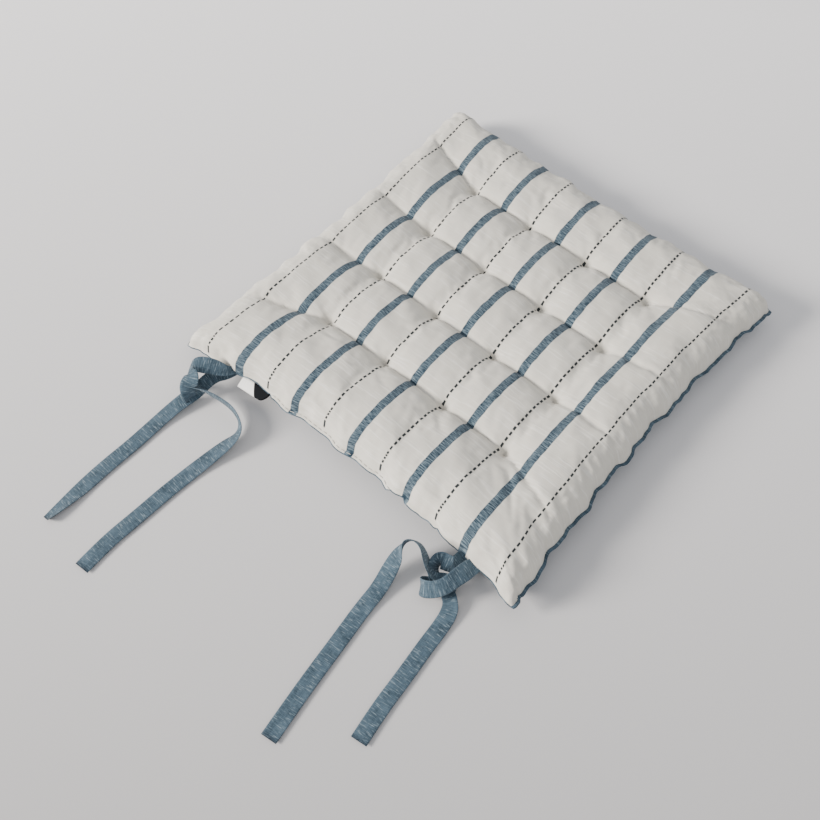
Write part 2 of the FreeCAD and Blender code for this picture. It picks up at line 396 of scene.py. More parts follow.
@dataclass(frozen=True)
class SpunThread:
    """Spun polyester sewing thread: two plies twisted together, so each glint runs slantwise round it. The glints and
    the shade between the plies are painted into its colour.
    """

    name: str = "tuft_thread"
    colour: str = "dedbd2"
    twist: float = 1.6

    def dress(self) -> bpy.types.Material:
        """Builds the thread's slanting plies from its own places: x round it, y along it.

        Returns:
            The material.
        """
        g = Graph(self.name)
        uv = g.add("UVMap", uv_map="cloth")
        mm = g.add("VectorMath", {0: uv, 1: (1000, 1000, 1000)}, operation="MULTIPLY")
        turned = g.add("Mapping", {0: mm, 2: (0, 0, 0.7)})
        ply = g.add(
            "TexWave", {"Vector": turned, "Scale": 1 / self.twist, "Distortion": 0.4}, "Fac", bands_direction="Y"
        )
        fuzz = g.add("TexNoise", {"Vector": mm, "Scale": 3.0, "Detail": 2.0})
        tone = g.add("Math", {0: ply, 1: 0.7, 2: fuzz}, operation="MULTIPLY_ADD")
        # painted highlight and shade: the colour is lighter on each ply's crest and darker in the groove between the
        # plies
        value = g.add("MapRange", {0: tone, 1: 0.3, 2: 1.1, 3: 0.72, 4: 1.06})
        colour = g.add("HueSaturation", {"Value": value, "Color": linear(self.colour)})
        bump = g.add("Bump", {"Strength": 0.7, "Distance": 0.0002, "Height": tone})
        shader = g.add(
            "BsdfPrincipled",
            {"Base Color": colour, "Roughness": 0.6, "Sheen Weight": 0.1, "Normal": bump},
        )
        return g.close(shader)


@dataclass(frozen=True)
class SatinTape:
    """Woven polyester satin: long floats along the tape give it a soft streaked gloss. One end is painted near-black
    as painted shade, for the shade inside the loop's open end.
    """

    colour: str = "f1f0ec"
    # painted shade: the near-black colour, and where along the loop it starts, for the shade inside the loop's open
    # end
    painted_shade: str = "17191c"
    painted_shade_from: float = 119.0
    painted_shade_slant: float = 0.67
    loop: float = 26.5

    def dress(self) -> bpy.types.Material:
        """Builds the label's satin from its own places: x across, y along.

        Returns:
            The material.
        """
        g = Graph("satin_label")
        uv = g.add("UVMap", uv_map="cloth")
        mm = g.add("VectorMath", {0: uv, 1: (1000, 1000, 1000)}, operation="MULTIPLY")
        floats_at = g.add("Mapping", {0: mm, 3: (3.0, 0.25, 1.0)})
        floats = g.add("TexNoise", {"Vector": floats_at, "Scale": 1.0, "Detail": 2.0})
        value = g.add("MapRange", {0: floats, 3: 0.93, 4: 1.04})
        # painted shade: towards one end the satin is painted near-black, rougher and less glossy, standing for the
        # shade inside the loop's open end
        x = g.add("SeparateXYZ", {0: mm}, "X")
        out = g.add("SeparateXYZ", {0: mm}, "Y")
        out = g.add("Math", {0: out, 1: self.loop}, operation="PINGPONG")
        out = g.add("Math", {0: out, 1: self.loop / 2}, operation="PINGPONG")
        side = g.add("Math", {0: out, 1: self.painted_shade_slant, 2: x}, operation="MULTIPLY_ADD")
        painted_shade = g.add("MapRange", {0: side, 1: self.painted_shade_from + 0.15, 2: self.painted_shade_from - 0.15})
        pick = g.add("Mix", {0: painted_shade, 6: linear(self.colour), 7: linear(self.painted_shade)}, "Result", data_type="RGBA")
        colour = g.add("HueSaturation", {"Value": value, "Color": pick})
        rough = g.add("MapRange", {0: floats, 3: 0.38, 4: 0.55})
        rough = g.add("Math", {0: painted_shade, 1: 0.45, 2: rough}, operation="MULTIPLY_ADD")
        gloss = g.add("MapRange", {0: painted_shade, 3: 0.5, 4: 0.08})
        bump = g.add("Bump", {"Strength": 0.3, "Distance": 0.0002, "Height": floats})
        shader = g.add(
            "BsdfPrincipled",
            {"Base Color": colour, "Roughness": rough, "Specular IOR Level": gloss, "Normal": bump},
        )
        return g.close(shader)


@dataclass(frozen=True)
class FibreWadding:
    """Carded hollow-fibre wadding: white, clumped at about a centimetre, with no gloss at all."""

    colour: str = "efeeea"

    def dress(self) -> bpy.types.Material:
        """Builds the clumped fibre from the piece's own places.

        Returns:
            The material.
        """
        g = Graph("wadding")
        place = g.add("TexCoord", out="Object")
        mm = g.add("VectorMath", {0: place, 1: (1000, 1000, 1000)}, operation="MULTIPLY")
        clump = g.add("TexNoise", {"Vector": mm, "Scale": 0.1, "Detail": 5.0, "Roughness": 0.7})
        value = g.add("MapRange", {0: clump, 3: 0.85, 4: 1.03})
        colour = g.add("HueSaturation", {"Value": value, "Color": linear(self.colour)})
        bump = g.add("Bump", {"Strength": 0.6, "Distance": 0.002, "Height": clump})
        return g.close(g.add("BsdfPrincipled", {"Base Color": colour, "Roughness": 1.0, "Normal": bump}))


@dataclass(frozen=True)
class PaperSweep:
    """A seamless paper background: pale warm grey, matt, with next to no grain."""

    colour: str = "d6d4d4"

    def dress(self) -> bpy.types.Material:
        """Builds the paper: a little uneven, and painted lighter towards its far side as painted light falling off
        across it, so its value falls from 1.24 to 0.84.

        Returns:
            The material.
        """
        g = Graph("paper_sweep")
        place = g.add("TexCoord", out="Object")
        cloud = g.add("TexNoise", {"Vector": place, "Scale": 2.0, "Detail": 1.0})
        value = g.add("MapRange", {0: cloud, 3: 0.98, 4: 1.01})
        # painted light: the paper's colour grows lighter towards its far side, standing for light that falls off
        # across it
        back = g.add("VectorMath", {0: place, 1: (0.49, -0.84, 0.0)}, "Value", operation="DOT_PRODUCT")
        painted_light_falloff = g.add("MapRange", {0: back, 1: -0.5, 2: 0.5, 3: 0.7, 4: 1.4})
        value = g.add("Math", {0: value, 1: painted_light_falloff}, operation="MULTIPLY")
        colour = g.add("HueSaturation", {"Value": value, "Color": linear(self.colour)})
        return g.close(g.add("BsdfPrincipled", {"Base Color": colour, "Roughness": 0.85}))


# --------------------------------------------------------------------------- the stuffed cover


def waves(x: np.ndarray, y: np.ndarray, length: float, seed: int, count: int = 24) -> np.ndarray:
    """Makes an even, unrepeating ripple.

    Args:
        x: places along one axis, in millimetres.
        y: places along the other.
        length: the usual distance from crest to crest.
        seed: which ripple.
        count: how many plane waves are added up.

    Returns:
        The sum of sin(k x cos a + k y sin a + p) over random directions a, phases p and k near 2 pi / length,
        scaled so that it is mostly between -1 and 1.
    """
    draw = np.random.default_rng(seed)
    a, p = draw.uniform(0, 2 * np.pi, (2, count))
    k = 2 * np.pi / (length * draw.uniform(0.7, 1.6, count))
    total = np.sin(x[..., None] * (k * np.cos(a)) + y[..., None] * (k * np.sin(a)) + p).sum(-1)
    return total / math.sqrt(count)


def finer(grid: np.ndarray) -> np.ndarray:
    """Doubles a grid along both its axes.

    Args:
        grid: n x m x 3 points.

    Returns:
        2n - 1 x 2m - 1 x 3 points. A new one is (9 (b + c) - (a + d)) / 16 of the four about it in line.
    """
    for _ in range(2):
        ends = np.concatenate([2 * grid[:1] - grid[1:2], grid, 2 * grid[-1:] - grid[-2:-1]])
        between = (9 * (ends[1:-2] + ends[2:-1]) - ends[:-3] - ends[3:]) / 16
        out = np.empty((2 * len(grid) - 1, *grid.shape[1:]))
        out[::2], out[1::2] = grid, between
        grid = out.swapaxes(0, 1)
    return grid


def facing(grid: np.ndarray) -> np.ndarray:
    """Gives a grid's unit normals: the cross product of the steps along its two axes."""
    return unit(np.cross(np.gradient(grid, axis=0), np.gradient(grid, axis=1)))


@dataclass
class StuffedCover:
    """Both panels, sewn together all round, stuffed and tufted.

    A panel is cut flat, flat_x wide and flat_y long. Its tufts and edges come to plan_x and plan_y when it is
    stuffed, so what is left over stands up in rolls between the tufts and gathers along the seam. Sizes are in
    millimetres.
    """

    flat_x: tuple[float, ...] = (-210, -175, -137, -111, -37, 37, 111, 137, 175, 213)
    plan_x: tuple[float, ...] = (-188, -168.5, -131, -108, -36, 36, 108, 130, 167, 190)
    cells_x: tuple[int, ...] = (9, 10, 6, 19, 19, 19, 6, 10, 10)
    flat_y: tuple[float, ...] = (-219, -193, -142, -116, -39, 38, 115, 141, 195, 222)
    plan_y: tuple[float, ...] = (-194, -184, -141, -119, -47, 25, 97, 119, 170.5, 182)
    cells_y: tuple[int, ...] = (7, 13, 6, 19, 19, 19, 6, 13, 7)
    tufts_x: tuple[float, ...] = (-111, -37, 37, 111)
    tufts_y: tuple[float, ...] = (-116, -39, 38, 115)
    slants: tuple[float, ...] = (-0.35, -0.05, 0.07, 0.38)
    corner: float = 200.0
    corner_round: float = 5.0
    seam_z: float = 19.0
    corner_z: float = 15.0
    top_z: float = 42.5
    tuft_top: float = 25.0
    tuft_bottom: float = 7.0
    row_depth: float = 8.5
    column_depth: float = 3.5
    cloth: float = 0.8
    cap: float = 16.0
    roll: float = 1.5
    frames: int = 24
    points: dict[str, np.ndarray] = field(default_factory=dict)

    def flat_grid(self) -> tuple[np.ndarray, np.ndarray]:
        """Lays out the flat cut so that every tuft falls on a grid point.

        Returns:
            The flat x and y of each point, in millimetres, with x along the first axis.
        """
        lines = []
        for knots, cells in ((self.flat_x, self.cells_x), (self.flat_y, self.cells_y)):
            spans = [np.linspace(a, b, n, endpoint=False) for a, b, n in zip(knots[:-1], knots[1:], cells)]
            lines.append(np.concatenate([*spans, [knots[-1]]]))
        return np.meshgrid(*lines, indexing="ij")

    def outline(self, t: np.ndarray, depth: float, phase: float) -> tuple[np.ndarray, np.ndarray]:
        """Says how far an edge is drawn in between its corners.

        Args:
            t: -1 to 1 from corner to corner.
            depth: how far in its middle is, in millimetres.
            phase: sets this edge's own small waves.

        Returns:
            depth (1 - t^2)^0.8, and waves of a millimetre or two, dying out at the corners.
        """
        t = np.clip(t, -1, 1)
        wave = 1.5 * np.sin(5.5 * np.pi * t + phase) + 1.0 * np.sin(12 * np.pi * t + 2.3 * phase)
        return (1 - t * t) ** 0.8 * depth, wave * fade(1 - np.abs(t), 0.0, 0.15)

    def plan(self, u: np.ndarray, v: np.ndarray) -> tuple[np.ndarray, np.ndarray]:
        """Places the flat cut's points in plan once the pad is stuffed.

        Args:
            u: flat x.
            v: flat y.

        Returns:
            x and y, between knots along straight lines, with edges pulled in by their outline and corners
            turned round: past the inner square, both distances over it are scaled by max / hypot.
        """
        x = np.interp(u, self.flat_x, self.plan_x)
        y = np.interp(v, self.flat_y, self.plan_y)
        s = 2 * (x - self.plan_x[0]) / (self.plan_x[-1] - self.plan_x[0]) - 1
        t = 2 * (y - self.plan_y[0]) / (self.plan_y[-1] - self.plan_y[0]) - 1
        left = np.clip((x - 108) / (self.plan_x[-1] - 108), 0, 1)
        right = np.clip((-108 - x) / (-108 - self.plan_x[0]), 0, 1)
        rear = np.clip((y - 97) / (self.plan_y[-1] - 97), 0, 1)
        front = np.clip((-119 - y) / (-119 - self.plan_y[0]), 0, 1)
        edges = ((left, t, 9.0, 0.4), (right, t, 12.5, 2.1), (rear, s, 18.0, 4.0), (front, s, 6.0, 1.2))
        knots = (self.plan_x[-1], -self.plan_x[0], self.plan_y[-1], -self.plan_y[0])
        moves = []
        for (near, along, depth, phase), knot in zip(edges, knots):
            bow, wave = self.outline(along, depth, phase)
            moves.append(near * (self.corner - bow - knot) - near**5 * wave)
        placed_x = x + moves[0] - moves[1]
        placed_y = y + moves[2] - moves[3]
        inner = self.corner - self.corner_round
        over_x, over_y = np.maximum(np.abs(placed_x) - inner, 0), np.maximum(np.abs(placed_y) - inner, 0)
        squared = np.maximum(np.maximum(over_x, over_y), 1e-6) / np.maximum(np.hypot(over_x, over_y), 1e-6)
        placed_x = np.sign(placed_x) * (np.abs(placed_x) - over_x * (1 - squared))
        placed_y = np.sign(placed_y) * (np.abs(placed_y) - over_y * (1 - squared))
        return placed_x, placed_y

    def from_tufts(self, u: np.ndarray, v: np.ndarray) -> tuple[np.ndarray, np.ndarray, np.ndarray]:
        """Measures flat distances to the tufts.

        Args:
            u: flat x.
            v: flat y.

        Returns:
            How far the nearest row's crease, the nearest column and the nearest tuft are. Past the outer
            tufts a crease slants towards the pad's corner, by its row's slant.
        """
        past = np.maximum(np.abs(u) - self.tufts_x[-1], 0)
        lines = [row + slant * past for row, slant in zip(self.tufts_y, self.slants)]
        to_line = np.abs(v[..., None] - np.stack(lines, -1)).min(-1)
        to_column = np.abs(u[..., None] - np.array(self.tufts_x)).min(-1)
        to_row = np.abs(v[..., None] - np.array(self.tufts_y)).min(-1)
        return to_line, to_column, np.hypot(to_row, to_column)

    @staticmethod
    def shoulder(t: np.ndarray) -> np.ndarray:
        """Rises from 0 at t = 0 to 1 at t = 1 like a rounded shoulder: (1 - (1 - t)^2.3)^(1 / 2.3)."""
        return (1 - (1 - np.clip(t, 0, 1)) ** 2.3) ** (1 / 2.3)

    @staticmethod
    def tuck(t: np.ndarray) -> np.ndarray:
        """Rises from 0 at t = 0 to 1 at t = 1, a little faster at first: 1 - (1 - t)^1.5."""
        return 1 - (1 - np.clip(t, 0, 1)) ** 1.5

    def heights(self, u: np.ndarray, v: np.ndarray) -> tuple[np.ndarray, np.ndarray]:
        """Gives both panels' heights before the simulation.

        Args:
            u: flat x.
            v: flat y.

        Returns:
            The top panel's and the underside's z. The top is a flat crown, less a valley along each row of
            tufts, a shallower one along each column and a pit at each tuft, and it comes down to the seam in a
            shoulder along all four edges.
        """
        to_side = np.minimum(u - self.flat_x[0], self.flat_x[-1] - u) / 38.0
        to_end = np.minimum(v - self.flat_y[0], self.flat_y[-1] - v) / 31.0
        turn = (u / self.flat_x[-1]) ** 2 * (v / self.flat_y[-1]) ** 2
        seam = self.seam_z + (self.corner_z - self.seam_z) * np.clip(turn, 0, 1) ** 3
        to_row, to_column, r = self.from_tufts(u, v)
        inside_x = (1 - fade(u, 150, 205)) * (1 - 0.6 * fade(-u, 108, 140)) * (1 - fade(-u, 142, 190))
        inside_y = 1 - fade(np.abs(v), 130, 200)
        row = self.row_depth * (1 - np.clip(to_row / 36, 0, 1)) ** 2.4 * inside_x
        column = self.column_depth * np.exp(-((to_column / 12.0) ** 2)) * inside_y
        pit = 11.0 * np.exp(-((r / 17.0) ** 1.3))
        pit += (self.top_z - self.tuft_top - 11.0) * np.exp(-((r / 5.0) ** 1.2))
        sunk = 2.5 * fade(np.abs(v), 125, 160)
        crown = self.top_z - sunk - (row**3 + column**3 + pit**3) ** (1 / 3)
        top = seam + (crown - seam) * self.shoulder(to_side) * self.shoulder(to_end)
        under_pit = self.tuft_bottom * np.exp(-((r / 9.0) ** 1.2))
        under = seam + (under_pit - seam) * self.tuck(to_side * 1.15) * self.tuck(to_end)
        return top, under

    def simulate(self, points: np.ndarray, flat: np.ndarray, quads: np.ndarray, pin: np.ndarray) -> np.ndarray:
        """Stuffs the sewn cover: pressure fills it, the flat cut is its rest shape, tufts and seam hold it.

        Args:
            points: where it starts.
            flat: the flat cut, which sets every thread's length.
            quads: its faces.
            pin: how firmly each point is held, 0 to 1.

        Returns:
            Where its points come to rest.
        """
        mesh = bpy.data.meshes.new("stuffing")
        mesh.from_pydata(points.tolist(), [], quads.tolist())
        body = bpy.data.objects.new("stuffing", mesh)
        bpy.context.scene.collection.objects.link(body)
        body.shape_key_add(name="Basis")
        cut = body.shape_key_add(name="flat_cut")
        cut.data.foreach_set("co", flat.ravel())
        cut.value = 0.0
        held = body.vertex_groups.new(name="held")
        for weight in np.unique(pin[pin > 0]):
            held.add(np.nonzero(pin == weight)[0].tolist(), float(weight), "REPLACE")
        floor = bpy.data.meshes.new("table")
        side = 0.4
        floor.from_pydata([(-side, -side, 0), (side, -side, 0), (side, side, 0), (-side, side, 0)], [], [(0, 1, 2, 3)])
        table = bpy.data.objects.new("table", floor)
        table.location.z = -1.2 * MM
        bpy.context.scene.collection.objects.link(table)
        table.modifiers.new("collide", "COLLISION")
        table.collision.thickness_outer = 0.001
        cloth = body.modifiers.new("stuffing", "CLOTH")
        s = cloth.settings
        s.quality = 5
        s.mass = 0.02
        s.air_damping = 2.0
        s.tension_stiffness = 25.0
        s.compression_stiffness = 25.0
        s.shear_stiffness = 5.0
        s.bending_stiffness = 0.05
        s.tension_damping = 6.0
        s.compression_damping = 6.0
        s.shear_damping = 3.0
        s.use_pressure = True
        s.uniform_pressure_force = 10.0
        s.shrink_min = -0.004
        s.vertex_group_mass = "held"
        s.pin_stiffness = 4.0
        s.rest_shape_key = cut
        s.effector_weights.gravity = 0.0
        cloth.collision_settings.distance_min = 0.001
        cloth.collision_settings.use_self_collision = False
        cloth.point_cache.frame_start = 1
        cloth.point_cache.frame_end = self.frames
        scene = bpy.context.scene
        for frame in range(1, self.frames + 1):
            scene.frame_set(frame)
        settled = body.evaluated_get(bpy.context.evaluated_depsgraph_get()).data
        out = np.empty(len(points) * 3)
        settled.vertices.foreach_get("co", out)
        bpy.data.objects.remove(body)
        bpy.data.objects.remove(table)
        scene.frame_set(1)
        return out.reshape(-1, 3)

    def fill(self) -> None:
        """Works out where both panels' points come to rest, and keeps them with their flat-cut places."""
        u, v = self.flat_grid()
        x, y = self.plan(u, v)
        top, under = self.heights(u, v)
        n, m = u.shape
        index = np.arange(n * m).reshape(n, m)
        below = index.copy()
        inner = np.arange((n - 2) * (m - 2)).reshape(n - 2, m - 2) + n * m
        below[1:-1, 1:-1] = inner
        core = (slice(1, -1), slice(1, -1))
        uneven = 0.18 * np.stack([waves(u, v, 11, seed) for seed in (3, 4, 5)], -1)
        uneven_under = 0.25 * np.stack([waves(u, v, 11, seed) for seed in (6, 7, 8)], -1)
        points = np.concatenate(
            [
                (np.stack([x, y, top], -1) + uneven).reshape(-1, 3),
                (np.stack([x, y, under], -1) + uneven_under)[core].reshape(-1, 3),
            ]
        )
        flat = np.stack([u, v, 0 * u], -1)
        flat = np.concatenate([flat.reshape(-1, 3), flat[core].reshape(-1, 3)])
        quads = np.concatenate([grid_faces(index), grid_faces(below, turn=True)])
        to_row, _, r = self.from_tufts(u, v)
        pin = np.zeros(len(points))
        ring = np.ones((n, m), bool)
        ring[core] = False
        pin[index[ring]] = 0.5
        pin[index[(to_row < 2.1) & (u < 165) & (u > -122)]] = 0.3
        pin[index[r < 1.0]] = 1.0
        pin[below[r < 1.0]] = 1.0
        start = points * MM
        settled = self.simulate(start, flat * MM, quads, pin)
        moved = settled - start
        far = np.linalg.norm(moved, axis=1, keepdims=True)
        limit = self.cap * MM
        moved *= np.where(far > limit, (limit + 0.25 * (far - limit)) / np.maximum(far, 1e-9), 1.0)
        settled = start + moved
        log.info("stuffed cover moved %.1f mm at most, %.2f mm on average", far.max() / MM, far.mean() / MM)
        self.points = {"top": settled[index], "under": settled[below], "flat": flat[: n * m].reshape(n, m, 3) * MM}

    def fold(self) -> None:
        """Doubles both grids and works the small folds into them, along the surface's own normals.

        A fold is a depth times how close its cause is: rows are nipped in to a sharp crease, each tuft gathers
        spokes about itself, the seam puckers, and the wadding leaves it all a little uneven.
        """
        flat = finer(self.points["flat"])
        u, v = flat[..., 0] / MM, flat[..., 1] / MM
        to_row, to_column, r = self.from_tufts(u, v)
        inside = (1 - fade(u, 150, 205)) * (1 - 0.3 * fade(-u, 125, 165)) * (1 - fade(-u, 185, 205))
        nip = 2.8 * np.exp(-to_row / 1.8) * inside * (1 - np.exp(-r / 8))
        row_sign = np.array(self.tufts_y)[np.abs(v[..., None] - np.array(self.tufts_y)).argmin(-1)]
        column_sign = np.array(self.tufts_x)[np.abs(u[..., None] - np.array(self.tufts_x)).argmin(-1)]
        angle = np.arctan2(v - row_sign, u - column_sign)
        spin = 0.7 * np.sin(row_sign * 0.31) + 1.3 * np.cos(column_sign * 0.17)
        spokes = np.sin(7 * angle + 3 * spin) + 0.6 * np.sin(11 * angle - 5 * spin)
        gathers = 0.75 * spokes * np.exp(-r / 11) * (1 - np.exp(-((r / 3.5) ** 2)))
        to_edge_x = np.minimum(u - self.flat_x[0], self.flat_x[-1] - u)
        to_edge_y = np.minimum(v - self.flat_y[0], self.flat_y[-1] - v)
        pucker = 0.6 * waves(v, 0.15 * u, 15, 21) * np.exp(-to_edge_x / 11) * fade(to_edge_y, 4, 24)
        pucker += 0.3 * waves(u, 0.15 * v, 20, 22) * np.exp(-to_edge_y / 10) * fade(to_edge_x, 4, 24)
        along_side = np.sin(2 * np.pi * (v + 0.25 * u) / 15.5 + 2.2 * waves(v, 0 * v, 47, 25, 6))
        held_in = np.exp(-(((u - self.flat_x[0] - 17) / 15) ** 2)) * fade(to_edge_y, 8, 40)
        pucker += 0.95 * np.clip(along_side, -0.3, 1) * held_in * (0.45 + 0.55 * fade(v, -90, 20))
        lumps = 0.5 * waves(u, v, 34, 23) + 0.12 * waves(u, v, 13, 24)
        free = fade(np.minimum(to_edge_x, to_edge_y), 0, 10)
        top = finer(self.points["top"])
        under = finer(self.points["under"])
        depth = (gathers + pucker - nip) + lumps * free * (1 - np.exp(-r / 9))
        top = top + facing(top) * depth[..., None] * MM
        lifted = (0.5 * gathers + pucker + 0.5 * lumps * free) * fade(under[..., 2] / MM, 1.5, 5)
        under = under - facing(under) * lifted[..., None] * MM
        under[..., 2] = np.maximum(under[..., 2], 0.3 * MM)
        drop = top[:1, :, 2] - under[..., 2]
        tucked = top[:1, :, 0] + 0.6 * drop - self.roll * MM
        near = fade(to_edge_y, 4, 24) * (u < 0)
        under[..., 0] += near * 0.85 * np.maximum(tucked - under[..., 0], 0)
        top[..., 2] = np.maximum(top[..., 2], under[..., 2] + 0.1 * MM)
        ring = (top + under) / 2
        edge = np.minimum(to_edge_x, to_edge_y)[..., None] < 0.01
        top, under = np.where(edge, ring, top), np.where(edge, ring, under)
        self.points = {"top": top, "under": under, "flat": flat}

    def lip_width(self, x: np.ndarray) -> np.ndarray:
        """Says how far the two pressed edges stand out of the rear seam: most where it was closed last.

        Args:
            x: places along the seam, in millimetres.

        Returns:
            0.5 mm of sewn edge, and 3.4 mm more from x = 96 to -52 and from -68 to -106.
        """
        first = fade(x, -53, -49) * (1 - fade(x, 94, 99))
        second = fade(x, -109, -104) * (1 - fade(x, -70, -66))
        return 0.5 + 3.0 * first + 2.6 * second

    def edged(self, grid: np.ndarray, lift: float, more: float) -> np.ndarray:
        """Carries a panel's grid two points past the seam, as the edge that shows outside it.

        Args:
            grid: the panel.
            lift: how far above the seam's middle this layer lies, in millimetres.
            more: how much further than the other layer it stands out.

        Returns:
            The grid with two more points on every side, outwards by lip_width on the rear and 0.6 mm elsewhere.
        """
        n, m = grid.shape[:2]
        over_x = np.concatenate([[-1, -0.5], np.zeros(n), [0.5, 1]])[:, None, None]
        over_y = np.concatenate([[-1, -0.5], np.zeros(m), [0.5, 1]])[None, :, None]
        wide = np.pad(grid, ((2, 2), (2, 2), (0, 0)), "edge")
        x = wide[..., :1] / MM
        width_x = np.where(over_x < 0, 0.6 + 4.6 * more, 0.6 + more)
        width_y = np.where(over_y > 0, self.lip_width(x), 0.6) + more
        both = np.maximum(np.hypot(over_x, over_y), 1e-6)
        past = np.maximum(np.abs(over_x), np.abs(over_y)) + 0 * x
        round_off = past / both
        out = np.concatenate([over_x * width_x * round_off, over_y * width_y * round_off, 0 * x], -1)
        edge = np.zeros(wide.shape[:2], bool)
        edge[2:-2, 2:-2] = True
        edge[3:-3, 3:-3] = False
        raised = lift * ((past > 0) | edge[..., None])
        out[..., 2:3] = raised - 0.35 * past * width_y * (over_y > 0)
        return wide + out * MM

    def panel(self, name: str, node: str, over: bool, material: bpy.types.Material) -> bpy.types.Object:
        """Makes one panel, with the cloth's own thickness.

        Args:
            name: the piece's name.
            node: the CAD node that it stands for.
            over: whether it is the top.
            material: its cloth.

        Returns:
            The panel.
        """
        grid = self.edged(self.points["top" if over else "under"], 0.45 if over else -0.45, 0.0 if over else 0.7)
        flat = np.pad(self.points["flat"], ((2, 2), (2, 2), (0, 0)), "edge")
        n, m = grid.shape[:2]
        index = np.arange(n * m).reshape(n, m)
        piece = make_piece(
            name, grid.reshape(-1, 3), grid_faces(index, turn=not over), material, flat.reshape(-1, 3)[:, :2]
        )
        thick = piece.modifiers.new("cloth_thickness", "SOLIDIFY")
        thick.thickness = self.cloth * MM
        thick.offset = -1.0
        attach(piece, "root")
        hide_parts(node)
        log.info("built %s", name)
        return piece

    def wadding(self) -> bpy.types.Object:
        """Makes the wadding: the cover's own shape, every third point of it, drawn in by its cloth.

        Returns:
            The wadding, at each point as high as the cover's lowest place nearby, less 1.6 mm above and below.
        """
        pick = [np.unique(np.append(np.arange(5, size - 5, 3), size - 6)) for size in self.points["flat"].shape[:2]]
        coarse = np.ix_(*pick)
        top, under = self.points["top"].copy(), self.points["under"].copy()
        for axis in (0, 1):
            near = [(np.roll(top[..., 2], k, axis), np.roll(under[..., 2], k, axis)) for k in range(-4, 5)]
            top[..., 2] = np.min([high for high, _ in near], 0)
            under[..., 2] = np.max([low for _, low in near], 0)
        top, under = top[coarse], under[coarse]
        rows, columns = top.shape[:2]
        upper = np.arange(rows * columns).reshape(rows, columns)
        lower = upper.copy()
        lower[1:-1, 1:-1] = np.arange((rows - 2) * (columns - 2)).reshape(rows - 2, columns - 2) + rows * columns
        middle = (top + under) / 2
        gap = np.maximum((top - under)[..., 2:3] / 2 - 1.6 * MM, 0.2 * MM) * np.array([0, 0, 1.0])
        high, low = middle + gap, middle - gap
        points = np.concatenate([high.reshape(-1, 3), low[1:-1, 1:-1].reshape(-1, 3)])
        faces = np.concatenate([grid_faces(upper), grid_faces(lower, turn=True)])
        piece = make_piece("fibre_wadding", points, faces, FibreWadding().dress())
        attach(piece, "root")
        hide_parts("filling")
        log.info("built %s", piece.name)
        return piece

    def seam(self) -> np.ndarray:
        """Reads the seam off the finished panels.

        Returns:
            Its points, once round, starting at the rear right corner and running along the rear first.
        """
        top = self.points["top"]
        return np.concatenate([top[:-1, -1], top[-1, :0:-1], top[:0:-1, 0], top[0, :-1]])

    def build(self) -> None:
        """Makes both panels and the wadding inside them."""
        self.fill()
        self.fold()
        self.panel("top_cloth", "top_panel", True, SlubCotton().dress())
        self.panel("underside_cloth", "underside_panel", False, Chambray(ClothUse.UNDERSIDE).dress())
        self.wadding()


# --------------------------------------------------------------------------- threads and label


def twisted(line: np.ndarray, radius: float, lay: float, closed: bool = False, sides: int = 8) -> tuple:
    """Carries a two-ply thread's section along a line.

    Args:
        line: n x 3 points, in metres.
        radius: the thread's, in metres.
        lay: how far one turn of the plies goes, in metres.
        closed: whether the line joins up with itself.
        sides: how many points go round.

    Returns:
        Points, faces and cloth places. The radius is r (0.72 + 0.28 |cos(a - pi s / lay)|) at angle a and
        distance s, which is two plies side by side, turning.
    """
    ahead = unit(np.roll(line, -1, 0) - np.roll(line, 1, 0)) if closed else unit(np.gradient(line, axis=0))
    guide = np.where(np.abs(ahead[:, 2:3]) > 0.9, np.array([[0.0, 1.0, 0.0]]), np.array([[0.0, 0.0, 1.0]]))
    first = across(guide, ahead)
    second = np.cross(ahead, first)
    a = np.arange(sides) * 2 * np.pi / sides
    s = run_length(line)
    r = radius * (0.72 + 0.28 * np.abs(np.cos(a[None, :] - np.pi * s[:, None] / lay)))
    ring = first[:, None] * (r * np.cos(a))[..., None] + second[:, None] * (r * np.sin(a))[..., None]
    points = (line[:, None] + ring).reshape(-1, 3)
    index = np.arange(len(line) * sides).reshape(len(line), sides)
    around = np.concatenate([index, index[:, :1]], 1)
    if closed:
        around = np.concatenate([around, around[:1]])
    faces = grid_faces(around).tolist()
    if not closed:
        faces += [index[0][::-1].tolist(), index[-1].tolist()]
    uv = np.stack([np.broadcast_to(radius * a, r.shape), np.broadcast_to(s[:, None], r.shape)], -1)
    return points, faces, uv.reshape(-1, 2)


def joined(parts: list[tuple]) -> tuple:
    """Puts several lots of points, faces and cloth places into one.

    Args:
        parts: points, faces and cloth places, as twisted() gives them.

    Returns:
        The same, for all of them together.
    """
    starts = np.cumsum([0] + [len(p) for p, _, _ in parts])
    faces = [[i + start for i in f] for (_, rows, _), start in zip(parts, starts) for f in rows]
    return np.concatenate([p for p, _, _ in parts]), faces, np.concatenate([uv for _, _, uv in parts])


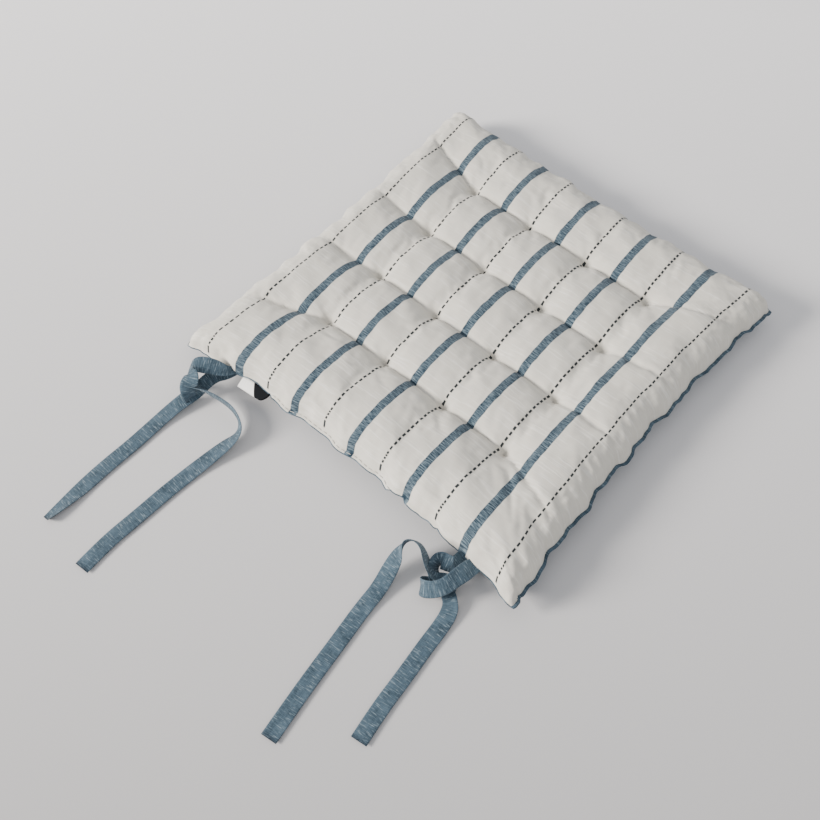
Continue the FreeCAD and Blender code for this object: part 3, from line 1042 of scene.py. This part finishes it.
@dataclass
class Stitching:
    """Every thread on the pad: tufts, the seam, its closing and the bar tacks."""

    cover: StuffedCover
    tuft_radius: float = 0.42
    tuft_stitch: float = 3.4
    seam_radius: float = 0.3
    lay: float = 1.5
    closing_from: float = 94.0
    closing_to: float = -50.0
    closing_count: int = 24

    def piece(self, name: str, nodes: tuple[str, ...], slot: str, parts: list[tuple], material) -> bpy.types.Object:
        """Makes one piece of thread.

        Args:
            name: the piece's name.
            nodes: the CAD nodes that it stands for.
            slot: not used.
            parts: its runs of thread.
            material: its finish.

        Returns:
            The piece.
        """
        points, faces, uv = joined(parts)
        made = make_piece(name, points, faces, material, uv)
        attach(made, "root")
        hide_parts(*nodes)
        log.info("built %s", name)
        return made

    def tufts(self) -> None:
        """Makes the 16 tufts: a loop of thread right through the pad, with a short stitch on each face."""
        material = SpunThread("tuft_thread", "d8d4ca").dress()
        q = np.linspace(0, 2 * np.pi, 48, endpoint=False)
        for row in range(4):
            for column in range(4):
                node = f"tuft_r{row + 1}c{column + 1}"
                low, high = (np.array(corner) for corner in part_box(node))
                centre = (low + high) / 2
                half = np.array([0.0, self.tuft_stitch / 2, (high[2] - low[2]) / 2 / MM - 0.2]) * MM
                loop_y = np.sign(np.cos(q)) * np.abs(np.cos(q)) ** 0.35
                loop_z = np.sign(np.sin(q)) * np.abs(np.sin(q)) ** 0.35
                loop = np.stack([0 * q, loop_y * half[1], loop_z * half[2]], -1) + centre
                run = twisted(loop, self.tuft_radius * MM, self.lay * MM, closed=True)
                self.piece(f"tuft_stitch_r{row + 1}c{column + 1}", (node,), "tuft_thread", [run], material)

    def seams(self) -> None:
        """Makes the perimeter seam and the edge stitches that closed it."""
        material = SpunThread("seam_thread", "e4e2dc").dress()
        ring = self.cover.seam()
        run = twisted(ring, self.seam_radius * MM, self.lay * MM, closed=True, sides=6)
        self.piece("seam_thread_ring", ("perimeter_seam_thread",), "seam_thread", [run], material)
        rear = self.cover.points["top"][:, -1]
        at = np.linspace(self.closing_from, self.closing_to, self.closing_count) * MM
        s = np.linspace(-1, 1, 9)
        stitches = []
        for x in at:
            along = x + s * 2.0 * MM
            y = np.interp(along, rear[:, 0], rear[:, 1]) + 1.9 * MM
            z = np.interp(along, rear[:, 0], rear[:, 2]) + (0.1 + 0.35 * (1 - s**4)) * MM
            stitches.append(twisted(np.stack([along, y, z], -1), 0.3 * MM, 1.2 * MM, sides=6))
        self.piece("closing_stitches", ("closing_seam_thread",), "seam_thread", stitches, material)

    def tacks(self) -> None:
        """Makes the bar tacks: a close zigzag over each tie's root, sewn in blue."""
        material = SpunThread("tack_thread", "3e5a70").dress()
        rear = self.cover.points["top"][:, -1]
        for side, shown in (("left", 0.75), ("right", 0.9)):
            low, high = (np.array(corner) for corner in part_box(f"bar_tack_{side}"))
            turns = 15
            q = np.linspace(0, 1, turns * 6 + 1)
            x = low[0] + (high[0] - low[0]) * (0.5 + (q - 0.5) * shown)
            wave = np.abs((q * turns) % 2 - 1) * 2 - 1
            tall = (high[2] - low[2]) / 2 * shown * 0.7
            z = np.interp(x, rear[:, 0], rear[:, 2]) + wave * tall
            y = np.interp(x, rear[:, 0], rear[:, 1]) + (2.2 - 0.9 * wave**2) * MM
            run = twisted(np.stack([x, y, z], -1), 0.33 * MM, self.lay * MM, sides=6)
            self.piece(f"bar_tack_{side}_zigzag", (f"bar_tack_{side}",), "seam_thread", [run], material)

    def build(self) -> None:
        """Makes every thread."""
        self.tufts()
        self.seams()
        self.tacks()


@dataclass
class CareLabel:
    """A blank satin label, folded in half, its two ends sewn into the rear seam so that it stands out in a loop."""

    cover: StuffedCover
    width: float = 33.0
    drop: float = 12.0
    centre: float = 115.0
    open_left: float = 0.8
    open_right: float = 1.8
    tucked: float = 7.5

    def build(self) -> bpy.types.Object:
        """Carries the loop along the seam.

        Returns:
            The label. Its loop is y = drop sin(a)^0.8, z = open cos(a) for a from 0 to pi, opening towards one
            end, where its corner is tucked back into the seam in a quarter round. It leans down as it stands out.
        """
        rear = self.cover.points["top"][:, -1]
        a = np.linspace(0.0, np.pi, 29)
        t = np.linspace(0, 1, 25)
        x = (self.centre + self.width * (0.5 - t)) * MM
        near = np.abs(rear[:, 0] - self.centre * MM) < self.width * 0.7 * MM
        root_y = np.polyval(np.polyfit(rear[near, 0], rear[near, 1], 1), x)
        root_z = np.polyval(np.polyfit(rear[near, 0], rear[near, 2], 1), x) - 0.6 * MM
        gape = self.open_left + (self.open_right - self.open_left) * t**2
        round_off = np.clip((x / MM - (self.centre - self.width / 2)) / self.tucked, 0.0, 1.0)
        out = self.drop * np.sqrt(np.clip(1 - (1 - round_off) ** 2, 0.03, 1))[:, None] * np.sin(a) ** 0.8
        up = gape[:, None] * np.cos(a) * np.sin(a) ** 0.35 * 1.25
        lean = math.radians(32)
        y = root_y[:, None] + (out * math.cos(lean) + up * math.sin(lean) + 0.3) * MM
        z = root_z[:, None] + (-out * math.sin(lean) + up * math.cos(lean)) * MM
        grid = np.stack([np.broadcast_to(x[:, None], y.shape), y, z], -1)
        index = np.arange(y.size).reshape(y.shape)
        step = np.linalg.norm(np.diff(grid[0], axis=0), axis=1)
        down = np.broadcast_to(np.concatenate([[0], np.cumsum(step)]), y.shape)
        uv = np.stack([grid[..., 0], down], -1)
        label = make_piece("satin_label", grid.reshape(-1, 3), grid_faces(index, turn=False), SatinTape().dress(), uv.reshape(-1, 2))
        thick = label.modifiers.new("tape_thickness", "SOLIDIFY")
        thick.thickness = 0.22 * MM
        thick.offset = 0.0
        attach(label, "root")
        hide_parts("care_label")
        log.info("built %s", label.name)
        return label


# --------------------------------------------------------------------------- ties


@dataclass
class TapeTie:
    """One folded and pressed chambray tape, sewn into the seam and lying in its half of a loose knot.

    Each route entry is a place in millimetres and the way the tape's face looks there. A half width and a cup,
    both as shares, narrow the tape where the knot bunches it.
    """

    name: str
    node: str
    route: tuple[tuple[tuple[float, float, float], tuple[float, float, float], float], ...]
    length: float
    width: float = 15.0
    thickness: float = 1.1

    def build(self, material: bpy.types.Material) -> bpy.types.Object:
        """Args:
            material: the tape's cloth.

        Returns:
            The tape.
        """
        places = np.array([p for p, _, _ in self.route]) * MM
        looks = unit(np.array([n for _, n, _ in self.route], float))
        shares = np.array([[w, 0.0, 0.0] for _, _, w in self.route])
        line = sampled_nurbs(places)
        face = sampled_nurbs(places + looks * 0.01) - line
        share = sampled_nurbs(shares)[:, 0]
        ahead = unit(np.gradient(line, axis=0))
        face = across(face, ahead)
        side = np.cross(ahead, face)
        along = run_length(line)
        # Section: half width h across, thickness t, rounded at both folds, a shallow cup towards the face.
        q = np.linspace(-1, 1, 13)
        top_x = np.sin(q * np.pi / 2)
        rim = np.sqrt(np.clip(1 - np.abs(top_x) ** 8, 0, 1))
        ring_x = np.concatenate([top_x, top_x[-2:0:-1]])
        ring_z = np.concatenate([rim, -rim[-2:0:-1]]) * 0.5
        half = self.width / 2 * MM * share
        end_round = np.sqrt(np.clip(1 - (1 - np.clip((along[-1] - along) / (0.8 * MM), 0, 1)) ** 2, 0.05, 1))
        cup = (1 - share) * 0.9
        x = half[:, None] * ring_x
        z = self.thickness * MM * ring_z * end_round[:, None] + (cup * half)[:, None] * (ring_x**2)
        points = line[:, None, :] + side[:, None, :] * x[..., None] + face[:, None, :] * z[..., None]
        floor = 0.3 * MM
        points[..., 2] = np.maximum(points[..., 2], floor + (ring_z > 0) * 0.9 * MM * (points[..., 2] < floor))
        count = len(ring_x)
        index = np.arange(len(line) * count).reshape(len(line), count)
        closed = np.concatenate([index, index[:, :1]], 1)
        faces = grid_faces(closed).tolist()
        faces.append(index[0][::-1].tolist())
        faces.append(index[-1].tolist())
        uv = np.stack(
            [np.broadcast_to(ring_x * self.width / 2 * MM, points.shape[:2]), np.broadcast_to(along[:, None], points.shape[:2])],
            -1,
        )
        tape = make_piece(self.name, points.reshape(-1, 3), faces, material, uv.reshape(-1, 2))
        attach(tape, "root")
        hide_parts(self.node)
        log.info("built %s, %.0f mm long", self.name, along[-1] / MM)
        return tape


UP = (0.0, 0.0, 1.0)
DOWN = (0.0, 0.0, -1.0)
EYE = (-0.5, 0.24, 0.83)

LEFT_SHORT = (
    ((142, 190, 18.5), (-0.7, 0.1, 0.7), 0.6),
    ((146.4, 197.5, 18), (-0.75, 0.1, 0.65), 0.85),
    ((152.4, 204.3, 17.5), (-0.75, 0.1, 0.65), 0.9),
    ((156, 213.5, 15), (-0.75, 0.1, 0.65), 0.95),
    ((157, 224, 11.8), (-0.75, 0.1, 0.65), 0.95),
    ((158.5, 233, 9.5), (-0.4, 0.1, 0.9), 0.9),
    ((161.5, 243, 7.5), (-0.1, 0.1, 0.98), 1.0),
    ((164, 256, 4.4), UP, 1.0),
    ((165, 274, 2.2), UP, 1.0),
    ((164.6, 304, 2), UP, 1.0),
    ((166, 336, 2), UP, 1.0),
    ((165, 371, 2), UP, 1.0),
    ((164.7, 404, 2), (0.5, 0.0, 0.8), 0.7),
)
LEFT_LONG = (
    ((142, 190, 19.5), EYE, 0.5),
    ((144, 197, 22.5), EYE, 0.6),
    ((150.9, 201.6, 26.5), EYE, 0.95),
    ((158, 206.4, 29.5), EYE, 1.05),
    ((166, 211.9, 31), (-0.1, 0.3, 0.95), 1.05),
    ((170.1, 219.3, 30.3), (0.8, 0.5, 0.25), 0.95),
    ((163, 222.5, 27.5), (0.1, 0.5, 0.85), 1.0),
    ((161.5, 231, 23.5), (-0.33, 0.29, 0.9), 1.12),
    ((158.7, 235, 17.5), (-0.6, 0.3, 0.7), 1.05),
    ((157, 236, 8.5), (-0.9, 0.1, -0.2), 0.8),
    ((160, 237.5, 2.5), (0.0, 0.0, -1.0), 0.8),
    ((167.5, 233.5, 3.5), (0.8, 0.0, -0.6), 0.8),
    ((170, 229.5, 9.5), (0.95, 0.0, 0.3), 0.7),
    ((166.5, 228.5, 15), (0.3, 0.0, 0.95), 0.7),
    ((155, 226, 17), (0.1, -0.6, 0.8), 0.7),
    ((144, 224, 16), (0.1, -0.99, 0.1), 0.85),
    ((131.5, 220.5, 14), (0.05, -0.99, 0.1), 0.9),
    ((117, 219, 12), (0.0, -0.99, 0.0), 0.95),
    ((103, 223, 10.5), (-0.5, -0.8, -0.1), 1.0),
    ((94, 234, 9), (-0.65, -0.2, -0.65), 1.0),
    ((97, 252, 6), (-0.2, 0.0, -0.95), 1.0),
    ((101.5, 280, 2), DOWN, 1.0),
    ((104.4, 314, 2), DOWN, 1.0),
    ((105.4, 349, 2), DOWN, 1.0),
    ((107.4, 384, 2), DOWN, 1.0),
    ((105, 413, 2), DOWN, 1.0),
)
RIGHT_SHORT = (
    ((-141, 190.5, 18.5), (-0.2, 0.5, 0.8), 0.8),
    ((-142.5, 203, 20), (-0.2, 0.6, 0.75), 1.0),
    ((-136.5, 206.5, 22.5), (-0.35, 0.55, 0.75), 1.0),
    ((-127.5, 208.5, 22.5), (-0.75, 0.1, 0.6), 1.0),
    ((-127, 216.5, 17), (-0.75, -0.3, 0.55), 1.0),
    ((-134.5, 221.5, 12), (-0.3, -0.5, 0.8), 0.95),
    ((-146, 221.5, 9.5), (-0.1, -0.1, 0.98), 0.85),
    ((-155.5, 225, 6.5), (0.0, 0.3, 0.95), 0.85),
    ((-161.5, 233.5, 3.5), UP, 1.0),
    ((-163.5, 248, 2), UP, 1.0),
    ((-165, 269, 2), UP, 1.0),
    ((-168.5, 300, 2), UP, 1.0),
    ((-171, 332, 2), UP, 1.0),
    ((-175.7, 361, 2), UP, 1.0),
)
RIGHT_LONG = (
    ((-154, 190.5, 18.5), (-0.3, 0.0, 0.95), 0.9),
    ((-152.5, 196.3, 20), (-0.3, 0.1, 0.95), 1.0),
    ((-151.7, 203.6, 21.5), (-0.3, 0.1, 0.9), 1.05),
    ((-149.7, 213, 21.5), EYE, 1.0),
    ((-147, 224.5, 20), EYE, 1.0),
    ((-139.5, 232.5, 16.5), EYE, 1.0),
    ((-130.5, 235.5, 11.5), (0.5, 0.6, 0.5), 1.0),
    ((-126.5, 229.5, 5), (0.8, 0.3, -0.5), 0.8),
    ((-133, 222.5, 2.3), (0.2, 0.2, -0.9), 0.8),
    ((-143, 218, 2.6), (0.0, 0.0, -1.0), 0.8),
    ((-151.5, 213.5, 6), (-0.9, -0.2, -0.3), 0.7),
    ((-151, 212, 13.5), (-0.8, -0.4, 0.4), 0.7),
    ((-143.5, 217, 17), (-0.6, -0.4, 0.7), 0.75),
    ((-135.5, 222.5, 17.5), (-0.6, -0.6, 0.5), 0.8),
    ((-127.5, 221.5, 21.5), (-0.65, -0.62, 0.42), 0.9),
    ((-119.5, 216, 27), (-0.65, -0.62, 0.42), 1.0),
    ((-110, 211.5, 32.5), (-0.3, -0.85, 0.35), 1.0),
    ((-100, 214, 32), (0.35, -0.8, 0.35), 1.0),
    ((-98, 220.5, 25), (0.75, -0.1, 0.6), 1.0),
    ((-98, 229.5, 16.5), (0.35, 0.35, 0.85), 1.05),
    ((-99.5, 241, 9), (0.1, 0.3, 0.95), 1.05),
    ((-102.5, 256.5, 4), UP, 1.0),
    ((-103.5, 280, 2), UP, 1.0),
    ((-107, 306, 2), UP, 1.0),
    ((-111, 340, 2), UP, 1.0),
    ((-115.5, 374, 2), UP, 1.0),
    ((-120.6, 407, 2), UP, 1.0),
)


def build_ties() -> list[bpy.types.Object]:
    """Builds the two ties, a short and a long tape each.

    Returns:
        The four tapes.
    """
    cloth = Chambray(ClothUse.TAPE).dress()
    ties = (
        TapeTie("tie_left_short_tape", "tie_left_short", LEFT_SHORT, 0.2119),
        TapeTie("tie_left_long_tape", "tie_left_long", LEFT_LONG, 0.3645),
        TapeTie("tie_right_short_tape", "tie_right_short", RIGHT_SHORT, 0.1882),
        TapeTie("tie_right_long_tape", "tie_right_long", RIGHT_LONG, 0.3587),
    )
    return [tie.build(cloth) for tie in ties]


# --------------------------------------------------------------------------- studio


@dataclass
class Studio:
    """The floor, the soft light and the camera."""

    eye: tuple[float, float, float] = (-0.3401, 0.4617, 0.8397)
    ahead: tuple[float, float, float] = (0.3460, -0.3657, -0.8640)
    right: tuple[float, float, float] = (-0.7475, -0.6640, -0.0182)
    up: tuple[float, float, float] = (0.5671, -0.6522, 0.5031)
    lens: float = 45.32

    def floor(self) -> None:
        """Lays the paper sweep, two metres each way, just under the pad."""
        side = 4.0
        corners = np.array([(-side, -side, 0), (side, -side, 0), (side, side, 0), (-side, side, 0)], float)
        corners[:, 2] = -0.0001
        paper = make_piece("paper_floor", corners, [[0, 1, 2, 3]], PaperSweep().dress())

    def softbox(self, name: str, place: tuple, aim: tuple, size: float, power: float, colour: str) -> None:
        """Hangs one square softbox.

        Args:
            name: its name.
            place: where it hangs.
            aim: what it points at.
            size: its side, in metres.
            power: in watts.
            colour: its light, sRGB hex.
        """
        data = bpy.data.lights.new(name, "AREA")
        data.size = size
        data.energy = power
        data.color = linear(colour)[:3]
        lamp = bpy.data.objects.new(name, data)
        lamp.location = place
        lamp.rotation_euler = (Vector(aim) - Vector(place)).to_track_quat("-Z", "Y").to_euler()
        bpy.context.scene.collection.objects.link(lamp)

    def build(self) -> None:
        """Sets up floor, light and camera."""
        self.floor()
        self.softbox("window", (2.6, 3.1, 1.92), (0, 0, 0), 1.25, 405.0, "fffaf4")
        world = bpy.data.worlds.new("room")
        bpy.context.scene.world = world
        world.use_nodes = True
        world.node_tree.nodes["Background"].inputs["Color"].default_value = linear("f4f6fa")
        world.node_tree.nodes["Background"].inputs["Strength"].default_value = 0.885
        data = bpy.data.cameras.new("camera")
        data.sensor_width = 36.0
        data.lens = self.lens
        data.clip_start = 0.01
        camera = bpy.data.objects.new("camera", data)
        turn = Matrix((self.right, self.up, [-c for c in self.ahead])).transposed()
        camera.matrix_world = Matrix.Translation(self.eye) @ turn.to_4x4()
        bpy.context.scene.collection.objects.link(camera)
        bpy.context.scene.camera = camera
        log.info("built the studio")


def main() -> None:
    """Builds every piece in order, then the studio."""
    logging.basicConfig(level=logging.INFO, format="%(name)s: %(message)s")
    cover = StuffedCover()
    cover.build()
    Stitching(cover).build()
    CareLabel(cover).build()
    build_ties()
    Studio().build()


if __name__ == "__main__":
    main()
